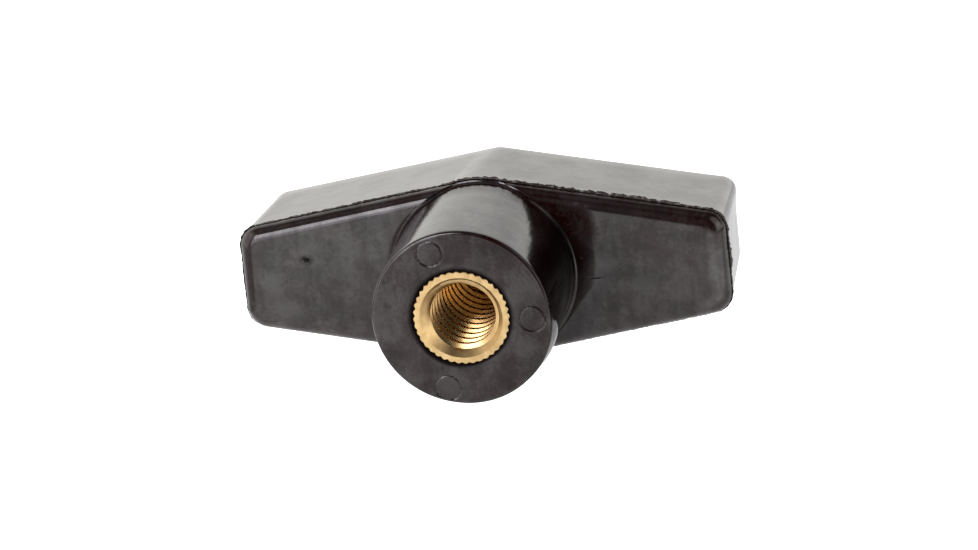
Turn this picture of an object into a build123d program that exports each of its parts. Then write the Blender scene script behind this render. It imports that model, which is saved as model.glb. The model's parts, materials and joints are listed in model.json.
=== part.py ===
from build123d import *
from math import radians, tan
import os

# Wing nut: a moulded wing body around a knurled, blind-tapped brass insert.
# The thread axis runs along Y. The origin is the centre of the hub's seat face,
# with the wings behind it along +Y, the wing span along X and +Z up.

# ---- Driving dimensions, millimetres and degrees ----

# Depths behind the seat face
WING_FRONT_DEPTH = 13.35
PARTING_DEPTH = 14.75
OVERALL_DEPTH = 27.8

# Hub
HUB_FACE_RADIUS = 9.1
HUB_BACK_RADIUS = 9.2
HUB_ROOT_RADIUS = 9.55
HUB_EDGE_ROUND = 0.3

# Wing outline where the two mould halves meet
PARTING_HALF_SPAN = 25.1
PARTING_END_HALF_HEIGHT = 5.1
PARTING_RIDGE_HALF_HEIGHT = 9.65
PARTING_RIDGE_ROUND = 8.0
PARTING_CORNER_ROUND = 2.2

# Wing outline at its front face, before its edge is rounded
FRONT_HALF_SPAN = 24.75
FRONT_END_HALF_HEIGHT = 5.0
FRONT_RIDGE_HALF_HEIGHT = 9.55
FRONT_EDGE_ROUND = 1.15

# Wing outline at its back face, before its edge is rounded
BACK_HALF_SPAN = 23.85
BACK_END_HALF_HEIGHT = 4.55
BACK_RIDGE_HALF_HEIGHT = 8.8
BACK_RIDGE_ROUND = 3.0
BACK_CORNER_ROUND = 1.6
BACK_EDGE_ROUND = 1.0

# Shallow discs left in the seat face by the mould's ejector pins, as (x, z) places
EJECTOR_RADIUS = 1.3
EJECTOR_DEPTH = 0.12
EJECTOR_PLACES = [(-2.6, 6.85), (7.15, -0.35), (-2.05, -7.35)]

# Threaded insert, 5/16-18 UNC: 18 threads to the inch
INSERT_LENGTH = 20.0
KNURL_RADIUS = 4.9
KNURL_DEPTH = 0.24
KNURL_TEETH = 40
KNURL_GROOVE_WIDTH = 0.56
GROOVE_DEPTH = 0.7
GROOVE_WIDTH = 2.0
GROOVE_PLACES = [7.0, 13.0]
INSERT_BACK_CHAMFER = 0.4
THREAD_MINOR_RADIUS = 3.3
THREAD_DEPTH = 17.5
DRILL_POINT_ANGLE = 118.0
COUNTERSINK_RADIUS = 4.2

# The countersink is cut at 45 degrees, and the drill leaves a cone below the thread.
COUNTERSINK_DEPTH = COUNTERSINK_RADIUS - THREAD_MINOR_RADIUS
DRILL_POINT_DEPTH = THREAD_MINOR_RADIUS / tan(radians(DRILL_POINT_ANGLE / 2))

# The hub's side ends in a quarter-round flare.
HUB_ROOT_FLARE = HUB_ROOT_RADIUS - HUB_BACK_RADIUS

# ---- Planes square to the thread axis, each facing out of the seat face ----

SEAT_PLANE = Plane((0, 0, 0), x_dir=(1, 0, 0), z_dir=(0, -1, 0))


def depth_plane(depth):
    """A plane this far behind the seat face, with X along the span and Y up."""
    return SEAT_PLANE.offset(-depth)


def wing_outline(half_span, end_half_height, ridge_half_height, ridge_round, corner_round):
    """Long hexagon across the span, its ridges and its four corners rounded."""
    Polygon(
        (half_span, end_half_height),
        (0, ridge_half_height),
        (-half_span, end_half_height),
        (-half_span, -end_half_height),
        (0, -ridge_half_height),
        (half_span, -end_half_height),
        align=None,
    )
    by_span = vertices().group_by(Axis.X)
    fillet(by_span[1], radius=ridge_round)
    by_span = vertices().group_by(Axis.X)
    fillet([*by_span[0], *by_span[-1]], radius=corner_round)


def parting_outline():
    """The wing outline where the mould's two halves meet, the widest one."""
    wing_outline(
        PARTING_HALF_SPAN,
        PARTING_END_HALF_HEIGHT,
        PARTING_RIDGE_HALF_HEIGHT,
        PARTING_RIDGE_ROUND,
        PARTING_CORNER_ROUND,
    )


# ---- Blank of the insert: the space it takes in the moulding ----

with BuildPart() as insert_blank:
    with BuildSketch(SEAT_PLANE):
        Circle(KNURL_RADIUS)
        with PolarLocations(KNURL_RADIUS, KNURL_TEETH):
            Polygon(
                (-KNURL_DEPTH, 0),
                (KNURL_DEPTH, KNURL_GROOVE_WIDTH),
                (KNURL_DEPTH, -KNURL_GROOVE_WIDTH),
                align=None,
                mode=Mode.SUBTRACT,
            )
    extrude(amount=-INSERT_LENGTH)

    # Two grooves around the knurl lock the insert into the moulding.
    for place in GROOVE_PLACES:
        with BuildSketch(depth_plane(place)):
            Circle(HUB_FACE_RADIUS)
            Circle(KNURL_RADIUS - GROOVE_DEPTH, mode=Mode.SUBTRACT)
        extrude(amount=-GROOVE_WIDTH, mode=Mode.SUBTRACT)

    # A chamfer around its closed back end
    with BuildSketch(Plane.XY):
        Polygon(
            (KNURL_RADIUS - INSERT_BACK_CHAMFER, INSERT_LENGTH),
            (KNURL_RADIUS, INSERT_LENGTH - INSERT_BACK_CHAMFER),
            (KNURL_RADIUS, INSERT_LENGTH),
            align=None,
        )
    revolve(axis=Axis.Y, mode=Mode.SUBTRACT)

# ---- Threaded insert: the blank, drilled, countersunk and tapped from the seat ----

with BuildPart() as threaded_insert:
    add(insert_blank.part)
    with BuildSketch(Plane.XY):
        Polygon(
            (0, 0),
            (COUNTERSINK_RADIUS, 0),
            (THREAD_MINOR_RADIUS, COUNTERSINK_DEPTH),
            (THREAD_MINOR_RADIUS, THREAD_DEPTH),
            (0, THREAD_DEPTH + DRILL_POINT_DEPTH),
            align=None,
        )
    revolve(axis=Axis.Y, mode=Mode.SUBTRACT)

threaded_insert.part.label = "threaded_insert"

# ---- Wing body: back half, front half and hub in one moulding ----

with BuildPart() as wing_body:
    # Back half, tapering away from the parting plane
    with BuildSketch(depth_plane(PARTING_DEPTH)):
        parting_outline()
    with BuildSketch(depth_plane(OVERALL_DEPTH)):
        wing_outline(
            BACK_HALF_SPAN,
            BACK_END_HALF_HEIGHT,
            BACK_RIDGE_HALF_HEIGHT,
            BACK_RIDGE_ROUND,
            BACK_CORNER_ROUND,
        )
    loft(ruled=True)
    back_face = faces().sort_by(Axis.Y)[-1]
    fillet(back_face.edges(), radius=BACK_EDGE_ROUND)

    # Front half, tapering the other way to the wings' front face
    with BuildSketch(depth_plane(PARTING_DEPTH)):
        parting_outline()
    with BuildSketch(depth_plane(WING_FRONT_DEPTH)):
        wing_outline(
            FRONT_HALF_SPAN,
            FRONT_END_HALF_HEIGHT,
            FRONT_RIDGE_HALF_HEIGHT,
            PARTING_RIDGE_ROUND,
            PARTING_CORNER_ROUND,
        )
    loft(ruled=True)
    front_face = faces().sort_by(Axis.Y)[0]
    fillet(front_face.edges(), radius=FRONT_EDGE_ROUND)

    # Hub, its side flaring out at its root on the wings
    with BuildSketch(Plane.XY):
        with BuildLine():
            Polyline(
                (HUB_ROOT_RADIUS, WING_FRONT_DEPTH),
                (HUB_ROOT_RADIUS, PARTING_DEPTH),
                (0, PARTING_DEPTH),
                (0, 0),
                (HUB_FACE_RADIUS, 0),
                (HUB_BACK_RADIUS, WING_FRONT_DEPTH - HUB_ROOT_FLARE),
            )
            RadiusArc(
                (HUB_BACK_RADIUS, WING_FRONT_DEPTH - HUB_ROOT_FLARE),
                (HUB_ROOT_RADIUS, WING_FRONT_DEPTH),
                HUB_ROOT_FLARE,
            )
        make_face()
    revolve(axis=Axis.Y)
    hub_rim = edges().filter_by(GeomType.CIRCLE).sort_by(Axis.Y)[0]
    fillet(hub_rim, radius=HUB_EDGE_ROUND)

    # Ejector-pin marks in the seat face
    with BuildSketch(SEAT_PLANE):
        with Locations(*EJECTOR_PLACES):
            Circle(EJECTOR_RADIUS)
    extrude(amount=-EJECTOR_DEPTH, mode=Mode.SUBTRACT)

    # The moulding closes around the insert, knurl, grooves and all.
    add(insert_blank.part, mode=Mode.SUBTRACT)

wing_body.part.label = "wing_body"

os.makedirs("parts", exist_ok=True)
export_step(threaded_insert.part, "parts/threaded_insert.step")
export_step(wing_body.part, "parts/wing_body.step")
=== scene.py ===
import json
import math
from types import SimpleNamespace

import bpy
import numpy as np
from mathutils import Matrix, Vector


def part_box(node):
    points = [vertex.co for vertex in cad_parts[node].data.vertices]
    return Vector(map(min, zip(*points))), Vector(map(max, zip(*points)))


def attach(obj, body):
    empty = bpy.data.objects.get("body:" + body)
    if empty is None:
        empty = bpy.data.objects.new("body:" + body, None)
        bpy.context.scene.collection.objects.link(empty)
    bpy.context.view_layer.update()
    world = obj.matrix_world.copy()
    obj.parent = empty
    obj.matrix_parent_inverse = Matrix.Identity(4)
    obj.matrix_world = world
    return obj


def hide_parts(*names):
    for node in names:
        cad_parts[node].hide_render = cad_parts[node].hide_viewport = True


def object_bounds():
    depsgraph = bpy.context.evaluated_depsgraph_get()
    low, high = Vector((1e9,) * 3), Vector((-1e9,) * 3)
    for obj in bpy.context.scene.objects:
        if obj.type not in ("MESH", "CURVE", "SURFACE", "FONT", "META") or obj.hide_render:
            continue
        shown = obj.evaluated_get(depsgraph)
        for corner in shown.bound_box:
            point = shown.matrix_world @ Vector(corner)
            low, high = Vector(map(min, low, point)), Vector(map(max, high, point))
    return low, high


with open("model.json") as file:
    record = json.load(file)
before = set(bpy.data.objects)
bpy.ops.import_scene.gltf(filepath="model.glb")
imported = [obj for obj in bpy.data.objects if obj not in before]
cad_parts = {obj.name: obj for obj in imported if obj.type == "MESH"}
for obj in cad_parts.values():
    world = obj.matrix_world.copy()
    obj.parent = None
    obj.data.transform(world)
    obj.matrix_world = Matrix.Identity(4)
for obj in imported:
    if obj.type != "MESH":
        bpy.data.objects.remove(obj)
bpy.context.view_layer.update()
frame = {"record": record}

# A moulded wing nut around a knurled, blind-tapped brass insert. The thread axis is Y,
# with the seat face at Y = 0 and the wings behind it along +Y; the span is X and +Z is up.
# Mesh code works in millimetres, and make_piece turns them into metres.

MM = 0.001
SEED = 7
SHARP_ANGLE = 38

# ---- Sizes read from the frame, in millimetres ----

BODY_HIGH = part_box("wing_body")[1] / MM
INSERT_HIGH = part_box("threaded_insert")[1] / MM
MOUNTS = {mount["name"]: mount for mount in frame["record"]["mounts"]}

HALF_SPAN = BODY_HIGH.x
OVERALL_DEPTH = BODY_HIGH.y
HUB_ROOT_RADIUS = BODY_HIGH.z
KNURL_RADIUS = INSERT_HIGH.z
INSERT_LENGTH = INSERT_HIGH.y
THREAD_MINOR_RADIUS = MOUNTS["thread"]["dims"]["r_mm"]

# ---- Sizes of the wing body, in millimetres ----

WING_FRONT_DEPTH = 13.35
PARTING_DEPTH = 14.75
HUB_FACE_RADIUS = 9.1
HUB_BACK_RADIUS = 9.2
HUB_EDGE_ROUND = 0.3
HUB_ROOT_FILLET = HUB_ROOT_RADIUS - HUB_BACK_RADIUS
HUB_ROOT_SHARE = 0.9
CREASE_DEPTH = 0.05
CREASE_WIDTH = 0.12
INSERT_CLEARANCE = 0.03

# Where the hub stands proud: how far in millimetres, and its middle and reach in degrees from +X to +Z
HUB_BULGE = (0.36, -18, 30)
HUB_OVAL = (0.08, -55, 45)

# Wing outlines: half span, end half height, ridge half height, ridge round, corner round
PARTING_OUTLINE = (HALF_SPAN, 5.1, 9.65, 8.0, 2.2)
FRONT_OUTLINE = (HALF_SPAN - 0.35, 5.0, 9.55, 8.0, 2.2)
BACK_OUTLINE = (HALF_SPAN - 1.25, 4.55, 8.8, 3.0, 1.6)
FRONT_EDGE_ROUND = 1.15
BACK_EDGE_ROUND = 1.0

# The right end is a little shorter in front and a little longer at the top of the back
RIGHT_END_TRIM = 0.2
BACK_RIGHT_EXTRA = 0.25

# The fin of flash round the parting line, and its steps as (share of its height, depth from the line)
FLASH_LEAST = 0.11
FLASH_STEPS = [(0.0, 0.14), (0.6, 0.12), (0.95, 0.07), (1.0, 0.0), (0.8, -0.07), (0.3, -0.1)]

# Ejector-pin marks in the seat face, as (x, z) places
EJECTOR_PLACES = [(-2.6, 6.85), (7.15, -0.35), (-2.05, -7.35)]
EJECTOR_RADIUS = 1.3
EJECTOR_DEPTH = 0.03
EJECTOR_GROOVE_DEPTH = 0.1
EJECTOR_GROOVE_WIDTH = 0.11
EJECTOR_MARKS_START = 5.75

# A shallow sunk ring in the seat face around the insert
MOAT_DEPTH = 0.1
MOAT_WIDTH = 0.5

# ---- Sizes of the insert, 5/16-18 UNC, in millimetres ----

KNURL_TEETH = 40
KNURL_DEPTH = 0.22
KNURL_CHAMFER = 0.06
INSERT_BACK_CHAMFER = 0.4
GROOVE_PLACES = (7.0, 13.0)
GROOVE_WIDTH = 2.0
GROOVE_DEPTH = 0.7
COUNTERSINK_RADIUS = 4.2
THREAD_PITCH = 25.4 / 18
THREAD_MAJOR_RADIUS = 3.97
THREAD_CREST = 0.5
THREAD_ROOT = 0.2
THREAD_DEPTH = 17.5
THREAD_RUNOUT = 1.5
THREAD_CLIP = 0.03
DRILL_POINT_DEPTH = 1.98


# ---- Mesh helpers ----


def ease(low, high, values):
    """0 up to low, 1 from high on, and a smooth rise between."""
    share = np.clip((np.asarray(values, float) - low) / (high - low), 0, 1)
    return share * share * (3 - 2 * share)


def rough_ring(count, knots, seed):
    """A closed line of count values from -1 to 1, random at evenly spaced knots and straight between."""
    heights = np.random.default_rng(SEED + seed).uniform(-1, 1, knots)
    places = np.arange(count) * knots / count
    return np.interp(places, np.arange(knots + 1), np.append(heights, heights[0]))


def ring_faces(first, second):
    """Quads between two closed rings of point numbers."""
    return np.stack([first, np.roll(first, -1), np.roll(second, -1), second], 1).tolist()


def fan_faces(ring, middle):
    """Triangles from a closed ring of point numbers to one point."""
    return [(a, b, middle) for a, b in zip(ring.tolist(), np.roll(ring, -1).tolist())]


def make_piece(name, points, faces, fields):
    """An object from points in millimetres and faces.

    fields holds {attribute name: one value for each point}, kept as point attributes."""
    mesh = bpy.data.meshes.new(name)
    mesh.from_pydata((np.asarray(points) * MM).tolist(), [], faces)
    for field, values in fields.items():
        attribute = mesh.attributes.new(field, "FLOAT", "POINT")
        attribute.data.foreach_set("value", np.asarray(values, np.float32))
    mesh.shade_smooth()
    mesh.set_sharp_from_angle(angle=math.radians(SHARP_ANGLE))
    mesh.validate()
    piece = bpy.data.objects.new(name, mesh)
    bpy.context.scene.collection.objects.link(piece)
    return piece


# ---- Wing outline: a long hexagon across the span, its ridges and corners rounded ----


def hexagon(half_span, end_half_height, ridge_half_height, ridge_round, corner_round):
    """Each corner as (centre of its round, radius, angle where the round starts, angle it turns)."""
    corners = [
        (half_span, end_half_height),
        (0, ridge_half_height),
        (-half_span, end_half_height),
        (-half_span, -end_half_height),
        (0, -ridge_half_height),
        (half_span, -end_half_height),
    ]
    rounds = []
    for k, corner in enumerate(corners):
        radius = ridge_round if corner[0] == 0 else corner_round
        here = np.array(corner, float)
        way_in = here - corners[k - 1]
        way_out = corners[(k + 1) % len(corners)] - here
        way_in = way_in / np.linalg.norm(way_in)
        way_out = way_out / np.linalg.norm(way_out)
        start_angle = math.atan2(-way_in[0], way_in[1])
        turn = math.acos(float(way_in @ way_out))
        centre = here - radius / math.cos(turn / 2) * unit(start_angle + turn / 2)
        rounds.append((centre, radius, start_angle, turn))
    return rounds


def unit(angle):
    """Unit vector at an angle from X towards Z."""
    return np.array([math.cos(angle), math.sin(angle)])


def outline(sizes, places):
    """Points and outward normals of a hexagon outline.

    A place is a corner's number plus a share. Up to a share of 0.5 it lies on the corner's round, and
    beyond that on the side after it."""
    rounds = hexagon(*sizes)
    points, normals = [], []
    for along in places:
        k = int(along)
        share = along - k
        centre, radius, start_angle, turn = rounds[k]
        normal = unit(start_angle + turn * min(1, 2 * share))
        point = centre + radius * normal
        if share > 0.5:
            next_centre, next_radius, next_angle, _ = rounds[(k + 1) % len(rounds)]
            side_end = next_centre + next_radius * unit(next_angle)
            point = point + (side_end - point) * (2 * share - 1)
        points.append(point)
        normals.append(normal)
    return np.array(points), np.array(normals)


def even_places(sizes, count):
    """count places around an outline, evenly spaced along it."""
    fine = np.arange(0, 6, 0.0005)
    points, _ = outline(sizes, fine)
    steps = np.linalg.norm(np.roll(points, -1, 0) - points, axis=1)
    run = np.concatenate([[0], np.cumsum(steps)])
    return np.interp(np.arange(count) * run[-1] / count, run, np.append(fine, 6))


# ---- Wing body ----

AROUND = 1000
SKIRT_RINGS = 3

# Angles round the hub's side, in degrees from +X to +Z, over which its painted shade and smooth zones fade
PAINTED_SHADE_START = (-24, 2)
PAINTED_SHADE_END = (28, 48)
SMOOTH_SIDE_END = (-6, 4)


def place(flat, depth):
    """3-D points from (x, z) points and the depth of each behind the seat."""
    flat = np.asarray(flat, float)
    depths = np.broadcast_to(depth, len(flat))
    return np.stack([flat[:, 0], depths, flat[:, 1]], 1)


def hub_radius(depth):
    """Radius of the tapered hub at a depth behind the seat."""
    return HUB_FACE_RADIUS + (HUB_BACK_RADIUS - HUB_FACE_RADIUS) * depth / WING_FRONT_DEPTH


def hub_swell(angles, depth):
    """How far the hub stands proud of a true cone: a bulge low on its right, and a slight oval."""
    degrees = np.degrees(angles)
    bulge, bulge_middle, bulge_reach = HUB_BULGE
    oval, oval_middle, oval_reach = HUB_OVAL
    along = (0.2 + 0.8 * ease(0, 2.2, depth)) * (1 - ease(2.6, 8, depth))
    bulge = bulge * lens(bulge_middle, bulge_reach, degrees) * along
    oval = oval * lens(oval_middle, oval_reach, degrees) * (1 - ease(0, WING_FRONT_DEPTH - 1, depth))
    return bulge + oval


def lens(middle, reach, values):
    """A low arch, 1 at its middle and 0 from its reach outwards."""
    return np.clip(1 - ((values - middle) / reach) ** 2, 0, 1)


def flash_height(parting):
    """How far the ragged flash stands out of the parting line at each point around it."""
    x, z = parting[:, 0], parting[:, 1]
    along_top = 0.04 + 0.1 * ease(-6, 2, x) + 0.1 * ease(0, 6, x) - 0.16 * ease(14, 24.5, x)
    height = FLASH_LEAST + ease(0, 2, z) * along_top
    height = height + 0.2 * (x > 24) * lens(0.9, 1.8, z) - 0.07 * (x < -24) * lens(1.9, 1.0, z)
    count = len(x)
    ragged = 1 + 0.22 * rough_ring(count, 60, 1) + 0.22 * rough_ring(count, 260, 2)
    ragged = ragged + 0.25 * rough_ring(count, 640, 3)
    nicks = ease(0.45, 0.8, rough_ring(count, 400, 4))
    return height * ragged * (1 - 0.45 * nicks)


def flash_rings(parting, normals):
    """The thin fin of flash, from the back half's side round its ragged tip to the front half's."""
    height = flash_height(parting)
    count = len(parting)
    drift = 0.06 * rough_ring(count, 70, 5) + 0.07 * rough_ring(count, 400, 6)
    rings = []
    for out, depth_step in FLASH_STEPS:
        flat = parting + normals * (height * out)[:, None]
        rings.append(place(flat, PARTING_DEPTH + depth_step + drift * out))
    return rings


def back_rings(places, parting, normals):
    """Back face from its middle, over its rounded edge and forward along the side to the parting line."""
    back, _ = outline(BACK_OUTLINE, places)
    back[:, 0] += BACK_RIGHT_EXTRA * ease(20, 23.5, back[:, 0]) * ease(1, 4.5, back[:, 1])
    side_depth = OVERALL_DEPTH - PARTING_DEPTH

    def side(depth, inset):
        share = (depth - PARTING_DEPTH) / side_depth
        return parting + (back - parting) * share - normals * inset

    rings = []
    edge = side(OVERALL_DEPTH, BACK_EDGE_ROUND)
    for share in (0.3, 0.7, 0.93):
        rings.append(place(edge * share, OVERALL_DEPTH))
    for angle in np.radians(np.linspace(90, 0, 8)):
        depth = OVERALL_DEPTH - BACK_EDGE_ROUND * (1 - math.sin(angle))
        rings.append(place(side(depth, BACK_EDGE_ROUND * (1 - math.cos(angle))), depth))
    for share in (0.15, 0.4, 0.65, 0.85, 0.95):
        depth = OVERALL_DEPTH - BACK_EDGE_ROUND - share * (side_depth - BACK_EDGE_ROUND)
        rings.append(place(side(depth, 0), depth))
    return rings


def front_rings(places, parting, normals):
    """Front half: skirt, rounded edge and flat wing face, inward to where each ray meets the hub."""
    front, _ = outline(FRONT_OUTLINE, places)
    front[:, 0] -= RIGHT_END_TRIM * ease(20, 25, front[:, 0])
    half_depth = PARTING_DEPTH - WING_FRONT_DEPTH
    spans = [(0.0, PARTING_DEPTH)]
    for angle in np.linspace(0, math.pi / 2, 40):
        inset = FRONT_EDGE_ROUND * (1 - math.cos(angle))
        spans.append((inset, WING_FRONT_DEPTH + FRONT_EDGE_ROUND * (1 - math.sin(angle))))
    paths = []
    for inset, depth in spans:
        share = (PARTING_DEPTH - depth) / half_depth
        paths.append(place(parting + (front - parting) * share - normals * inset, depth))
    paths = np.array(paths)
    rays = paths[-1][:, [0, 2]]
    reach = np.linalg.norm(rays, axis=1)
    hub = hub_radius(WING_FRONT_DEPTH) + HUB_ROOT_FILLET
    foot = rays / reach[:, None] * np.minimum(hub, reach - 0.01)[:, None]
    paths = np.concatenate([paths, [place(foot, WING_FRONT_DEPTH)]])
    columns = []
    for column in range(len(places)):
        columns.append(cut_at_hub(paths[:, column]))
    rings = np.transpose(np.array(columns), (1, 0, 2))
    return list(rings)


def cut_at_hub(path):
    """One ray's path inward from the parting line, cut where it meets the hub, its points spread again."""
    reach = np.hypot(path[:, 0], path[:, 2]) - hub_radius(path[:, 1]) - HUB_ROOT_FILLET * HUB_ROOT_SHARE
    inside = np.nonzero(reach[1:] < 0)[0]
    if len(inside):
        k = inside[0] + 1
        share = reach[k - 1] / (reach[k - 1] - reach[k])
        path = np.vstack([path[:k], path[k - 1] + (path[k] - path[k - 1]) * share])
    steps = np.linalg.norm(np.diff(path, axis=0), axis=1)
    run = np.concatenate([[0], np.cumsum(steps)])
    rounded = (PARTING_DEPTH - WING_FRONT_DEPTH - FRONT_EDGE_ROUND) + FRONT_EDGE_ROUND * math.pi / 2
    split = min(rounded, 0.75 * run[-1])
    face = run[-1] - split
    crease = max(run[-1] - CREASE_WIDTH, split + 0.9 * face)
    inner = [*(split + np.linspace(0.06, 0.85, 6) * face), crease, run[-1]]
    wanted = np.concatenate([np.linspace(0.02, 1, 12) * split, inner])
    path = np.stack([np.interp(wanted, run, path[:, axis]) for axis in range(3)], 1)
    path[-1, 1] += CREASE_DEPTH
    return path


def hub_rings(foot, angles):
    """Hub side from its root to the seat face's rounded edge."""
    rings = []
    start = foot[:, 1] - HUB_ROOT_FILLET
    directions = np.stack([np.cos(angles), np.sin(angles)], 1)
    for share in (0.2, 0.4, 0.6, 0.8, 1.0):
        turn = share * math.pi / 2
        depth = foot[:, 1] - HUB_ROOT_FILLET * (1 - math.cos(turn))
        radius = hub_radius(depth) + HUB_ROOT_FILLET * HUB_ROOT_SHARE * (1 - math.sin(turn))
        rings.append(place(directions * radius[:, None], depth))
    for share in (0.2, 0.5, 0.68, 0.78, 0.86, 0.92, 0.97):
        depth = start + (HUB_EDGE_ROUND - start) * share
        radius = hub_radius(depth) + hub_swell(angles, depth)
        rings.append(place(directions * radius[:, None], depth))
    for angle in np.radians(np.linspace(0, 90, 6)):
        depth = HUB_EDGE_ROUND * (1 - math.sin(angle))
        radius = HUB_FACE_RADIUS + hub_swell(angles, depth) - HUB_EDGE_ROUND * (1 - math.cos(angle))
        rings.append(place(directions * radius[:, None], depth))
    return rings


def seat_depth(flat):
    """Depth of the seat face below its plane: shallow tilted discs in fine grooves, and the sunk ring."""
    gap = np.linalg.norm(flat, axis=1) - KNURL_RADIUS
    depth = MOAT_DEPTH * (1 - ease(0, MOAT_WIDTH, gap))
    for x, z in EJECTOR_PLACES:
        across, up = flat[:, 0] - x, flat[:, 1] - z
        away = np.hypot(across, up)
        inside = 1 - ease(EJECTOR_RADIUS - 0.05, EJECTOR_RADIUS + 0.05, away)
        tilt = 1 + 0.6 * (up - across) / EJECTOR_RADIUS
        groove = 1 - ease(0, EJECTOR_GROOVE_WIDTH, np.abs(away - EJECTOR_RADIUS))
        depth = depth + EJECTOR_DEPTH * inside * tilt + EJECTOR_GROOVE_DEPTH * groove
    return np.maximum(depth, 0)


def seat_rings(angles):
    """Seat face from its rounded edge in to the insert's hole, and the hole's wall down to its end."""
    directions = np.stack([np.cos(angles), np.sin(angles)], 1)
    hole = knurl(angles) + INSERT_CLEARANCE
    outer = HUB_FACE_RADIUS - HUB_EDGE_ROUND
    rings = []
    fine = np.linspace(outer - 0.04, EJECTOR_MARKS_START, 30)
    for radius in [*fine, 5.5, 5.25, 5.1, KNURL_RADIUS + 0.08]:
        flat = directions * radius
        rings.append(place(flat, seat_depth(flat)))
    for depth in (0.1, 0.5, 6.0, INSERT_LENGTH + INSERT_CLEARANCE):
        rings.append(place(directions * hole[:, None], depth))
    return rings


def body_zones(points):
    """How much shade is painted on the moulding and how smooth it is, as values from 0 to 1 for each point.

    Painted shade, a darker colour and almost no gloss: the hub's right side, its root on the left and the
    sunk ring. Smooth: the lower half of its side."""
    x, depth, z = points.T
    reach = np.hypot(x, z)
    angle = np.degrees(np.arctan2(z, x))
    on_side = (depth < WING_FRONT_DEPTH) & (reach > HUB_FACE_RADIUS - 0.1)
    # Where shade is painted on: the hub's right side, its root on the left and the sunk ring round the insert
    right_side = on_side * ease(*PAINTED_SHADE_START, angle) * (1 - ease(*PAINTED_SHADE_END, angle))
    left_root = (np.abs(depth - WING_FRONT_DEPTH) < 0.4) & (reach < HUB_ROOT_RADIUS) & (x < -2)
    moat_start = KNURL_RADIUS + 0.1
    moat = (depth < 0.2) * (1 - ease(moat_start, moat_start + MOAT_WIDTH, reach))
    dull = np.maximum(np.maximum(right_side, 0.6 * left_root), moat)
    return dull, on_side * (1 - ease(*SMOOTH_SIDE_END, angle))


def make_wing_body():
    """The moulding as one closed mesh, from its back face's middle to the bottom of the insert's hole."""
    places = even_places(PARTING_OUTLINE, AROUND)
    parting, normals = outline(PARTING_OUTLINE, places)
    parting[:, 0] -= RIGHT_END_TRIM * ease(20, 25, parting[:, 0])
    reach = np.linalg.norm(parting, axis=1)
    least = HUB_ROOT_RADIUS + 0.01
    parting = parting * (np.maximum(reach, least) / reach)[:, None]
    angles = np.arctan2(parting[:, 1], parting[:, 0])
    front = front_rings(places, parting, normals)
    # Each group of rings, with how much of it is flash and how much is seat face
    groups = [
        (back_rings(places, parting, normals), 0, 0),
        (flash_rings(parting, normals), 1, 0),
        (front[:SKIRT_RINGS], 0.5, 0),
        (front[SKIRT_RINGS:], 0, 0),
        (hub_rings(front[-1], angles), 0, 0),
        (seat_rings(angles), 0, 1),
    ]
    rings = [ring for group, _, _ in groups for ring in group]
    flash_on = [on for group, on, _ in groups for _ in group]
    seat_on = [on for group, _, on in groups for _ in group]
    hole_end = INSERT_LENGTH + INSERT_CLEARANCE
    points = np.vstack([*rings, [(0, OVERALL_DEPTH, 0)], [(0, hole_end, 0)]])
    numbers = np.arange(len(rings) * AROUND).reshape(len(rings), AROUND)
    faces = fan_faces(numbers[0][::-1], len(points) - 2)
    for first, second in zip(numbers, numbers[1:]):
        faces += ring_faces(first, second)
    faces += fan_faces(numbers[-1], len(points) - 1)
    dull, smooth = body_zones(points)
    fields = {
        "flash": np.append(np.repeat(flash_on, AROUND), [0, 0]),
        "seat": np.append(np.repeat(seat_on, AROUND), [0, 0]),
        # Painted shade, read by the moulding's colour and gloss
        "dull": dull,
        "smooth": smooth,
    }
    return make_piece("moulding_body", points, faces, fields)


# ---- Threaded insert ----

INSERT_AROUND = 400


def knurl(angles):
    """Radius of the straight knurl: pointed teeth with rounder hollows between them."""
    places = np.asarray(angles) * KNURL_TEETH / math.tau % KNURL_TEETH
    tooth = np.abs(places % 1 * 2 - 1)
    uneven = np.random.default_rng(SEED).uniform(0.45, 1.0, KNURL_TEETH + 1)
    worn = np.interp(places, np.arange(KNURL_TEETH + 1), np.append(uneven[:-1], uneven[0]))
    return KNURL_RADIUS - KNURL_DEPTH * worn * (1 - tooth) ** 1.3


def thread_lines():
    """One pitch of the thread as (share of the pitch, share of the thread's height), crest first."""
    crest = THREAD_CREST / THREAD_PITCH / 2
    root = 0.5 - THREAD_ROOT / THREAD_PITCH / 2
    down = [(crest + (root - crest) * share, share) for share in (0, 1 / 3, 2 / 3, 1)]
    up = [(1 - along, share) for along, share in reversed(down)]
    return [(0, 0), *down, *up]


def thread_columns():
    """The tapped bore as lines of points down it, one at each angle, along a right-hand helix.

    Returns the points of each column, and the number of its first line. Lines are numbered along the
    helix, so the same line in the next column is the next point of the same crest or root."""
    profile = thread_lines()
    turns = math.ceil(THREAD_DEPTH / THREAD_PITCH) + 1
    columns, firsts = [], []
    for step in range(INSERT_AROUND):
        share_of_turn = step / INSERT_AROUND
        line = np.arange(turns * len(profile))
        offsets, heights = np.array(profile).T[:, line % len(profile)]
        depth = THREAD_PITCH * (line // len(profile) + offsets - share_of_turn)
        fade = 1 - ease(THREAD_DEPTH - THREAD_RUNOUT, THREAD_DEPTH - THREAD_RUNOUT / 3, depth)
        radius = THREAD_MINOR_RADIUS + (THREAD_MAJOR_RADIUS - THREAD_MINOR_RADIUS) * heights * fade
        radius = np.maximum(radius, COUNTERSINK_RADIUS - depth)
        kept = np.nonzero((depth > THREAD_CLIP) & (depth < THREAD_DEPTH - THREAD_CLIP))[0]
        direction = unit(step * math.tau / INSERT_AROUND)
        columns.append(place(direction * radius[kept, None], depth[kept]))
        firsts.append(kept[0])
    return columns, firsts


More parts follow.
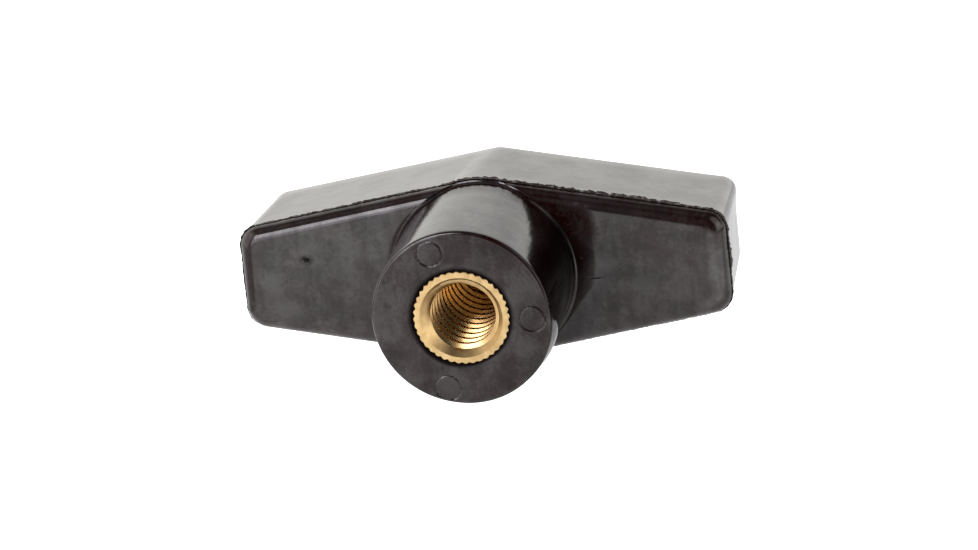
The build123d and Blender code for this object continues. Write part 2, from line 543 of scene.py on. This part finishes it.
def thread_faces(numbers, firsts, mouth, bottom):
    """Faces of the tapped bore between the mouth's ring and the bottom's ring."""
    lines = len(thread_lines())
    faces = []
    for step in range(INSERT_AROUND):
        after = (step + 1) % INSERT_AROUND
        here, there = numbers[step], numbers[after]
        shift = firsts[after] + (lines if after == 0 else 0) - firsts[step]
        if shift:
            faces.append((mouth[after], here[0], mouth[step]))
            faces.append((mouth[after], there[0], here[shift], here[0]))
        else:
            faces.append((mouth[after], there[0], here[0], mouth[step]))
        shared = len(here) - shift
        for k in range(shared - 1):
            faces.append((there[k], there[k + 1], here[k + shift + 1], here[k + shift]))
        last = there[shared - 1]
        if len(there) > shared:
            faces.append((last, there[shared], bottom[step], here[-1]))
            faces.append((there[shared], bottom[after], bottom[step]))
        else:
            faces.append((last, bottom[after], bottom[step], here[-1]))
    return faces


def make_insert():
    """The brass insert as one closed mesh, from its closed end over the knurl and down the bore."""
    angles = np.arange(INSERT_AROUND) * math.tau / INSERT_AROUND
    directions = np.stack([np.cos(angles), np.sin(angles)], 1)
    outer = knurl(angles)
    rings = []

    def ring(radius, depth):
        radii = np.broadcast_to(radius, INSERT_AROUND)
        rings.append(place(directions * radii[:, None], depth))

    ring(outer - INSERT_BACK_CHAMFER, INSERT_LENGTH)
    ring(outer, INSERT_LENGTH - INSERT_BACK_CHAMFER)
    for start in reversed(GROOVE_PLACES):
        ring(outer, start + GROOVE_WIDTH)
        ring(KNURL_RADIUS - GROOVE_DEPTH, start + GROOVE_WIDTH - 0.01)
        ring(KNURL_RADIUS - GROOVE_DEPTH, start + 0.01)
        ring(outer, start)
    ring(outer, 1.0)
    ring(outer, KNURL_CHAMFER)
    ring(outer - KNURL_CHAMFER, 0)
    for radius in np.linspace(KNURL_RADIUS - KNURL_DEPTH - 0.12, COUNTERSINK_RADIUS, 5):
        ring(radius, 0)
    outside = len(rings)
    ring(THREAD_MINOR_RADIUS, THREAD_DEPTH)
    for share in (0.35, 0.7, 0.95):
        ring(THREAD_MINOR_RADIUS * (1 - share), THREAD_DEPTH + DRILL_POINT_DEPTH * share)
    columns, firsts = thread_columns()
    tip = (0, THREAD_DEPTH + DRILL_POINT_DEPTH, 0)
    points = np.vstack([*rings, *columns, [(0, INSERT_LENGTH, 0)], [tip]])
    numbers = np.arange(len(rings) * INSERT_AROUND).reshape(len(rings), INSERT_AROUND)
    faces = fan_faces(numbers[0][::-1], len(points) - 2)
    for k in range(len(rings) - 1):
        if k != outside - 1:
            faces += ring_faces(numbers[k], numbers[k + 1])
    faces += fan_faces(numbers[-1], len(points) - 1)
    starts = len(rings) * INSERT_AROUND + np.cumsum([0] + [len(column) for column in columns])
    column_numbers = [list(range(a, b)) for a, b in zip(starts, starts[1:])]
    mouth_ring, bottom_ring = numbers[outside - 1].tolist(), numbers[outside].tolist()
    faces += thread_faces(column_numbers, firsts, mouth_ring, bottom_ring)
    reach = np.hypot(points[:, 0], points[:, 2])
    inside = (reach < COUNTERSINK_RADIUS) & (points[:, 1] < THREAD_DEPTH + DRILL_POINT_DEPTH + 0.001)
    bore = np.where(inside, ease(0.2, 3.0, points[:, 1]), 0)
    mouth = (reach < COUNTERSINK_RADIUS + 0.01) & (points[:, 1] < 1.0)
    return make_piece("brass_insert", points, faces, {"bore": bore, "mouth": mouth})


# ---- Materials ----


class Nodes:
    """The node tree of a material or world, with short ways to add to it."""

    def __init__(self, owner):
        owner.use_nodes = True
        self.tree = owner.node_tree

    def feed(self, socket, value):
        """Link an input from another node's output, or set it to a value."""
        if isinstance(value, bpy.types.NodeSocket):
            self.tree.links.new(value, socket)
        else:
            socket.default_value = value

    def add(self, kind, inputs=None, **settings):
        """A new node with its settings and inputs."""
        made = self.tree.nodes.new(kind)
        for setting, value in settings.items():
            setattr(made, setting, value)
        for socket, value in (inputs or {}).items():
            self.feed(made.inputs[socket], value)
        return made

    def math(self, operation, first, second):
        """One Math node's result."""
        return self.add("ShaderNodeMath", {0: first, 1: second}, operation=operation).outputs[0]

    def spread(self, value, low, high, start=0.0, end=1.0, kind="LINEAR"):
        """value mapped from low..high to start..end, and held beyond them."""
        inputs = {"Value": value, "From Min": low, "From Max": high, "To Min": start, "To Max": end}
        return self.add("ShaderNodeMapRange", inputs, interpolation_type=kind).outputs[0]

    def blend(self, factor, first, second):
        """A colour between two colours."""
        inputs = {"Factor": factor, 6: first, 7: second}
        return self.add("ShaderNodeMix", inputs, data_type="RGBA").outputs[2]

    def noise(self, scale, detail, vector, roughness=0.55):
        """Noise from 0 to 1."""
        inputs = {"Vector": vector, "Scale": scale, "Detail": detail, "Roughness": roughness}
        return self.add("ShaderNodeTexNoise", inputs).outputs["Fac"]

    def attribute(self, name):
        """The mesh's point attribute of this name."""
        return self.add("ShaderNodeAttribute", attribute_name=name).outputs["Fac"]

    def coords(self):
        """Object coordinates, in metres."""
        return self.add("ShaderNodeTexCoord").outputs["Object"]


def new_material(name):
    """A node material, its nodes and its Principled shader."""
    material = bpy.data.materials.new(name)
    nodes = Nodes(material)
    return material, nodes, nodes.tree.nodes["Principled BSDF"]


# Marks on the wings' front face, as (x, z) places in millimetres
PIT = (-18.2, 2.0)
SCRATCH = (11.3, -0.95)
# A painted highlight: a lighter, glossier patch near the right wing's end
PAINTED_HIGHLIGHT = (20.3, -1.6)
SPECKS = [(10.0, 7.0), (11.0, 6.7), (10.1, 1.2)]
SPOT_DEPTH = 2.5

# Base colours of the moulding
GROUND = (0.0115, 0.0009, 0.001, 1)
FILM = (0.0205, 0.0122, 0.0122, 1)
PATCH = (0.0105, 0.006, 0.0055, 1)
# Near-black colour of the painted shade and of the dark pit and scratch
BLEMISH_AND_SHADE = (0.001, 0.0004, 0.0005, 1)
SPECK = (0.16, 0.13, 0.12, 1)
FLASH_BROWN = (0.022, 0.011, 0.009, 1)
FLASH_PALE = (0.14, 0.125, 0.115, 1)


def spot(nodes, coords, middle, size):
    """1 at a place on the wings' front, falling to 0 at size (across, up) from it; all in millimetres."""
    scales = (1 / (size[0] * MM), 1 / (SPOT_DEPTH * MM), 1 / (size[1] * MM))
    offset = (-middle[0] / size[0], -WING_FRONT_DEPTH / SPOT_DEPTH, -middle[1] / size[1])
    inputs = {"Vector": coords, "Scale": scales, "Location": offset}
    inside = nodes.add("ShaderNodeMapping", inputs).outputs[0]
    away = nodes.add("ShaderNodeVectorMath", {0: inside}, operation="LENGTH").outputs["Value"]
    return nodes.spread(away, 0.2, 1.0, 1.0, 0.0)


def moulding_patterns(nodes):
    """What the moulding's colour, gloss and relief are made from: zones, noises and marks."""
    coords = nodes.coords()

    def stretched(scales):
        return nodes.add("ShaderNodeMapping", {"Vector": coords, "Scale": scales}).outputs[0]

    made = SimpleNamespace(coords=coords)
    # The zones, among them the painted shade on the hub's right side, its left root and the sunk ring
    for zone in ("flash", "seat", "dull", "smooth"):
        setattr(made, zone, nodes.attribute(zone))
    clouds = nodes.noise(300, 5, stretched((1.0, 1.0, 0.7)), 0.6)
    streaks = nodes.noise(1700, 3, stretched((1.0, 1.0, 0.14)))
    made.grain = nodes.noise(2600, 4, coords, 0.65)
    made.patches = nodes.noise(240, 4, stretched((1.0, 1.0, 1.6)), 0.6)
    cloudy = nodes.math("ADD", nodes.math("MULTIPLY", clouds, 0.6), nodes.math("MULTIPLY", made.grain, 0.25))
    made.mixed = nodes.math("ADD", cloudy, nodes.math("MULTIPLY", streaks, 0.15))
    # Painted highlight near the right end: a lighter film colour and more gloss
    made.handled = nodes.math("MULTIPLY", spot(nodes, coords, PAINTED_HIGHLIGHT, (5.2, 6.0)), 0.025)
    ragged = nodes.spread(made.grain, 0.4, 0.56, 0.35, 1.0)
    pit = nodes.math("MULTIPLY", spot(nodes, coords, PIT, (1.0, 0.75)), ragged)
    made.dark = nodes.math("MAXIMUM", pit, spot(nodes, coords, SCRATCH, (1.1, 0.09)))
    # Painted shade together with the dark pit and scratch
    made.shaded = nodes.math("MAXIMUM", made.dark, made.dull)
    made.specks = spot(nodes, coords, SPECKS[0], (0.4, 0.22))
    for middle in SPECKS[1:]:
        made.specks = nodes.math("MAXIMUM", made.specks, spot(nodes, coords, middle, (0.24, 0.16)))
    return made


def moulding_colour(nodes, made):
    """A red-brown ground under a thin grey film, and pale-flecked brown flash. The film is lighter at a
    painted highlight, and the colour darker where shade is painted and at the dark blemishes.
    """
    # The painted highlight lightens the film here
    film = nodes.spread(nodes.math("ADD", made.mixed, made.handled), 0.46, 0.54)
    colour = nodes.blend(film, GROUND, FILM)
    colour = nodes.blend(nodes.spread(made.patches, 0.5, 0.58, 0.0, 0.7), colour, PATCH)
    # Near-black over the painted shade and the dark blemishes
    colour = nodes.blend(nodes.math("MULTIPLY", made.shaded, 0.8), colour, BLEMISH_AND_SHADE)
    colour = nodes.blend(nodes.math("MULTIPLY", made.specks, 0.22), colour, SPECK)
    flecks = nodes.spread(nodes.noise(3800, 2, made.coords), 0.6, 0.68)
    fin = nodes.blend(flecks, FLASH_BROWN, FLASH_PALE)
    return nodes.blend(made.flash, colour, fin)


def moulding_roughness(nodes, made):
    """Clear on the wings and hub, satin on the seat face, rough on the flash."""
    satin = nodes.math("MULTIPLY", made.seat, 0.15)
    rough = nodes.math("ADD", nodes.spread(made.mixed, 0.42, 0.58, 0.15, 0.11), satin)
    rough = nodes.math("ADD", rough, nodes.math("MULTIPLY", made.dark, 0.3))
    rough = nodes.math("SUBTRACT", rough, nodes.math("MULTIPLY", made.smooth, 0.05))
    return nodes.math("ADD", rough, nodes.math("MULTIPLY", made.flash, 0.28))


def moulding_gloss(nodes, made):
    """Specular level: uneven with the stains, higher at the painted highlight, lower on the seat face, and
    nearly none where shade is painted and at the dark blemishes.
    """
    uneven = nodes.spread(made.mixed, 0.45, 0.55, -0.07, 0.07)
    level = nodes.math("ADD", nodes.spread(made.patches, 0.43, 0.57, 0.6, 0.475), uneven)
    # More gloss at the painted highlight
    level = nodes.math("ADD", level, nodes.math("MULTIPLY", made.handled, 5.0))
    level = nodes.math("SUBTRACT", level, nodes.math("MULTIPLY", made.seat, 0.09))
    # Gloss down to 4 % where shade is painted and at the dark blemishes
    return nodes.math("MULTIPLY", level, nodes.spread(made.shaded, 0.0, 1.0, 1.0, 0.04))


def moulding_relief(nodes, made):
    """Normal: slow sink and swell, fine grain, turning marks on the seat face and the blemishes."""
    dents = nodes.spread(made.smooth, 0.0, 1.0, 1.0, 0.08)
    swell = {"Height": nodes.noise(190, 3, made.coords), "Distance": 0.00006}
    swell["Strength"] = nodes.math("MULTIPLY", dents, 0.5)
    marks = {"Vector": made.coords, "Scale": 620, "Distortion": 3.0, "Detail": 2, "Detail Scale": 2.0}
    turning = nodes.add("ShaderNodeTexWave", marks, wave_type="RINGS", rings_direction="Y").outputs["Fac"]
    height = nodes.math("MULTIPLY", nodes.math("MULTIPLY", turning, made.seat), 0.5)
    grain = nodes.math("MULTIPLY", made.grain, nodes.spread(made.seat, 0.0, 1.0, 0.6, 2.0))
    height = nodes.math("ADD", height, grain)
    on_flash = nodes.math("MULTIPLY", made.flash, 6.0)
    coarse = nodes.math("MULTIPLY", nodes.noise(4200, 3, made.coords), on_flash)
    height = nodes.math("ADD", height, coarse)
    height = nodes.math("ADD", height, nodes.math("MULTIPLY", made.dark, -4.0))
    inputs = {"Height": height, "Strength": nodes.math("MULTIPLY", dents, 0.3), "Distance": 0.000012}
    inputs["Normal"] = nodes.add("ShaderNodeBump", swell).outputs[0]
    return nodes.add("ShaderNodeBump", inputs).outputs["Normal"]


def moulding_material():
    """Brown-black phenolic: glossy sides, a satin seat face, cloudy stains and rough brown flash."""
    material, nodes, shader = new_material("phenolic_moulding")
    made = moulding_patterns(nodes)
    nodes.feed(shader.inputs["Base Color"], moulding_colour(nodes, made))
    nodes.feed(shader.inputs["Roughness"], moulding_roughness(nodes, made))
    nodes.feed(shader.inputs["Specular IOR Level"], moulding_gloss(nodes, made))
    nodes.feed(shader.inputs["Normal"], moulding_relief(nodes, made))
    shader.inputs["IOR"].default_value = 1.6
    return material


BRASS_DARK = (0.59, 0.395, 0.175, 1)
BRASS_LIGHT = (0.79, 0.565, 0.28, 1)
BRASS_BORE = (0.68, 0.45, 0.195, 1)


def brass_material():
    """Turned brass: a matt machined rim and countersink, and clean threads deeper in colour."""
    material, nodes, shader = new_material("turned_brass")
    coords = nodes.coords()
    bore = nodes.attribute("bore")
    cloud = nodes.add("ShaderNodeTexNoise", {"Vector": coords, "Scale": 800, "Detail": 5}).outputs["Fac"]
    colour = nodes.blend(nodes.spread(cloud, 0.35, 0.65), BRASS_DARK, BRASS_LIGHT)
    nodes.feed(shader.inputs["Base Color"], nodes.blend(bore, colour, BRASS_BORE))
    satin = nodes.math("MULTIPLY", nodes.attribute("mouth"), 0.06)
    rough = nodes.math("ADD", nodes.spread(bore, 0.0, 1.0, 0.3, 0.24), satin)
    nodes.feed(shader.inputs["Roughness"], rough)
    shader.inputs["Metallic"].default_value = 1.0
    tooling = nodes.add("ShaderNodeTexNoise", {"Vector": coords, "Scale": 2600, "Detail": 3}).outputs["Fac"]
    strength = nodes.spread(bore, 0.0, 1.0, 0.2, 0.05)
    bump = nodes.add("ShaderNodeBump", {"Height": tooling, "Strength": strength, "Distance": 0.000025})
    nodes.feed(shader.inputs["Normal"], bump.outputs["Normal"])
    return material


# ---- Studio: floor, surround, lights and camera ----

FLOOR_RADIUS = 2.2
FLOOR_GLOW = 1.0
FLOOR_WHITE = 0.8
CARD_LEFT = -75 * MM
CARD_FRONT = -64 * MM
CARD_FAR = 600 * MM
CARD_GAP = 0.1 * MM
CARD_DARK = 0.04
CARD_LEFT_GLOW = 1.6
CARD_RIGHT_GLOW = 1.0
CARD_FAR_RIGHT = 0.7
CARD_BEHIND = 0.3

# The lit part of the card ends on two lines, each as (x share, y share, fade start, fade end)
CARD_FRONT_EDGE = (-0.75, 1.0, -57 * MM, -45 * MM)
CARD_LEFT_EDGE = (1.0, -0.2, -47 * MM, -35 * MM)
CARD_LEFT_DIM = 0.45
# How much the card is dimmed near and under the nut: a painted shadow of the nut
CARD_PAINTED_SHADOW = 0.22


def flat_plate(name, rim, height):
    """A flat level plate from the (x, y) places around its rim."""
    mesh = bpy.data.meshes.new(name)
    mesh.from_pydata([(x, y, height) for x, y in rim], [], [tuple(range(len(rim)))])
    plate = bpy.data.objects.new(name, mesh)
    bpy.context.scene.collection.objects.link(plate)
    return plate


def make_floor(height):
    """A plain pale floor. It doesn't show in reflections, where the card stands for it."""
    turns = np.arange(96) * math.tau / 96
    rim = [(FLOOR_RADIUS * math.cos(turn), FLOOR_RADIUS * math.sin(turn)) for turn in turns]
    floor = flat_plate("floor", rim, height)
    material, _, shader = new_material("pale_floor")
    shader.inputs["Base Color"].default_value = (FLOOR_WHITE, FLOOR_WHITE, FLOOR_WHITE, 1)
    shader.inputs["Roughness"].default_value = 0.9
    shader.inputs["Specular IOR Level"].default_value = 0.1
    shader.inputs["Emission Color"].default_value = (1, 1, 1, 1)
    shader.inputs["Emission Strength"].default_value = FLOOR_GLOW
    floor.data.materials.append(material)
    floor.visible_glossy = False
    floor.visible_diffuse = False


def card_glow(nodes):
    """How brightly the card is lit at each place, dimmed near and under the nut by a painted shadow."""
    across, along, _ = nodes.add("ShaderNodeSeparateXYZ", {0: nodes.coords()}).outputs

    def lit(x_share, y_share, start, end):
        """1 on the lit side of a line across the card, fading to 0 over the edge."""
        x_part = nodes.math("MULTIPLY", across, x_share)
        value = nodes.math("ADD", x_part, nodes.math("MULTIPLY", along, y_share))
        return nodes.spread(value, start, end, kind="SMOOTHSTEP")

    left = nodes.math("MAXIMUM", lit(*CARD_LEFT_EDGE), CARD_LEFT_DIM)
    # A painted shadow: the card glows less near and under the nut
    under = nodes.math("MULTIPLY", lit(0.0, 1.0, -26 * MM, -2 * MM), CARD_PAINTED_SHADOW)
    pool = nodes.math("MULTIPLY", lit(*CARD_FRONT_EDGE), left)
    pool = nodes.math("MULTIPLY", pool, nodes.math("SUBTRACT", 1.0, under))
    behind = nodes.spread(along, 14 * MM, 24 * MM)
    pool = nodes.math("ADD", pool, nodes.math("MULTIPLY", behind, CARD_BEHIND))
    beside = nodes.math("MULTIPLY", lit(1.0, 0.0, 17 * MM, 24 * MM), lit(0.0, -1.0, -12 * MM, -2 * MM))
    pool = nodes.math("ADD", pool, nodes.math("MULTIPLY", beside, CARD_FAR_RIGHT))
    pool = nodes.math("MAXIMUM", pool, CARD_DARK)
    slope = nodes.spread(across, -28 * MM, 8 * MM, CARD_LEFT_GLOW, CARD_RIGHT_GLOW)
    return nodes.math("MULTIPLY", slope, pool)


def make_bounce_card(height):
    """A glowing card just above the floor, seen only in the nut's reflections and as light on it."""
    rim = [(CARD_LEFT, CARD_FRONT), (CARD_FAR, CARD_FRONT), (CARD_FAR, CARD_FAR), (CARD_LEFT, CARD_FAR)]
    card = flat_plate("bounce_card", rim, height)
    material, nodes, shader = new_material("bounce_card")
    emission = nodes.add("ShaderNodeEmission", {"Strength": card_glow(nodes)})
    nodes.feed(nodes.tree.nodes["Material Output"].inputs["Surface"], emission.outputs[0])
    nodes.tree.nodes.remove(shader)
    card.data.materials.append(material)
    card.visible_camera = False
    card.visible_shadow = False
    card.visible_transmission = False


SKY_BRIGHT = 1.6
SKY_LEAN = 0.5
SKY_START = 2.42
SKY_FALL = 2.28
SKY_SLANT = 0.55
SKY_DARK = 0.05

# Soft pale walls beside and over the nut: azimuth from -Y towards -X, elevation, inner and outer
# angle of the glow, radiance
WALLS = [
    (80, 12, 18, 42, 1.1),
    (62, 46, 8, 30, 0.2),
    (31, 76, 8, 26, 0.15),
    (-76, -4, 14, 36, 1.4),
    (-72, 32, 10, 30, 0.9),
]


def away_from_nut(azimuth, elevation):
    """Unit vector out from the nut. Azimuth is measured from -Y towards -X."""
    a, e = math.radians(azimuth), math.radians(elevation)
    return Vector((-math.sin(a) * math.cos(e), -math.cos(a) * math.cos(e), math.sin(e)))


def soft_wall(nodes, direction, azimuth, elevation, inner, outer, radiance):
    """A round glow about a direction, full inside its inner angle and gone at its outer one."""
    facing = nodes.add("ShaderNodeVectorMath", {0: direction}, operation="DOT_PRODUCT")
    facing.inputs[1].default_value = away_from_nut(azimuth, elevation)
    start, end = math.cos(math.radians(outer)), math.cos(math.radians(inner))
    return nodes.spread(facing.outputs["Value"], start, end, 0.0, radiance, kind="SMOOTHSTEP")


def make_world():
    """The studio around the nut: a backdrop behind it, darker towards the top and right, and soft walls."""
    world = bpy.data.worlds.new("studio")
    bpy.context.scene.world = world
    nodes = Nodes(world)
    direction = nodes.add("ShaderNodeTexCoord").outputs["Generated"]
    right, ahead, up = nodes.add("ShaderNodeSeparateXYZ", {0: direction}).outputs
    slanted = nodes.math("ADD", up, nodes.math("MULTIPLY", right, SKY_SLANT))
    fall = nodes.math("SUBTRACT", SKY_START, nodes.math("MULTIPLY", slanted, SKY_FALL))
    most = nodes.math("ADD", SKY_BRIGHT, nodes.math("MULTIPLY", right, SKY_LEAN))
    sky = nodes.math("MAXIMUM", nodes.math("MINIMUM", fall, most), SKY_DARK)
    behind = nodes.spread(ahead, 0.0, 0.6, SKY_DARK, 1.0, kind="SMOOTHSTEP")
    strength = nodes.math("MULTIPLY", sky, behind)
    for wall in WALLS:
        strength = nodes.math("ADD", strength, soft_wall(nodes, direction, *wall))
    background = nodes.tree.nodes["Background"]
    nodes.feed(background.inputs["Strength"], strength)
    background.inputs["Color"].default_value = (1.0, 0.985, 0.95, 1)


def add_panel(name, azimuth, elevation, distance, width, height, radiance, tint=(1, 1, 1)):
    """A rectangular soft light facing the nut."""
    light = bpy.data.lights.new(name, "AREA")
    light.shape = "RECTANGLE"
    light.size = width
    light.size_y = height
    light.energy = radiance * math.pi * width * height
    light.color = tint
    away = away_from_nut(azimuth, elevation)
    panel = bpy.data.objects.new(name, light)
    panel.location = away * distance
    panel.rotation_mode = "QUATERNION"
    panel.rotation_quaternion = away.to_track_quat("Z", "Y")
    bpy.context.scene.collection.objects.link(panel)
    return panel


def make_lights():
    """A softbox in front on the left, brighter in its upper half, and a soft top light."""
    tint = (0.98, 0.945, 1.0)
    add_panel("softbox_high", 27, 25, 1.0, 0.52, 0.46, 5.7, tint)
    add_panel("softbox_low", 27, 1, 1.0, 0.5, 0.39, 3.0, tint)
    overhead = add_panel("overhead", 20, 75, 1.2, 1.0, 1.0, 0.25)
    overhead.visible_glossy = False


CAMERA_AZIMUTH = 11.843
CAMERA_ELEVATION = 18.943
CAMERA_ROLL = -5.809
CAMERA_DISTANCE = 819.28 * MM
CAMERA_AIM = Vector((0.163, PARTING_DEPTH, -0.740)) * MM
CAMERA_LENS = 298.444


def make_camera():
    """A long-lens camera in front, to the right and above, tipped a little about its axis."""
    data = bpy.data.cameras.new("camera")
    data.lens = CAMERA_LENS
    data.sensor_width = 36
    data.clip_start = 0.05
    data.clip_end = 20
    camera = bpy.data.objects.new("camera", data)
    a, e = math.radians(CAMERA_AZIMUTH), math.radians(CAMERA_ELEVATION)
    back = Vector((math.sin(a) * math.cos(e), -math.cos(a) * math.cos(e), math.sin(e)))
    turn = back.to_track_quat("Z", "Y").to_matrix() @ Matrix.Rotation(math.radians(CAMERA_ROLL), 3, "Z")
    camera.matrix_world = Matrix.Translation(CAMERA_AIM + back * CAMERA_DISTANCE) @ turn.to_4x4()
    bpy.context.scene.collection.objects.link(camera)
    bpy.context.scene.camera = camera


# ---- Put together ----

body = make_wing_body()
body.data.materials.append(moulding_material())
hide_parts("wing_body")
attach(body, "root")

insert = make_insert()
insert.data.materials.append(brass_material())
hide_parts("threaded_insert")
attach(insert, "root")

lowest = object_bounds()[0].z
make_floor(lowest - 2 * CARD_GAP)
make_bounce_card(lowest - CARD_GAP)
make_world()
make_lights()
make_camera()
bpy.context.scene.view_settings.view_transform = "Standard"
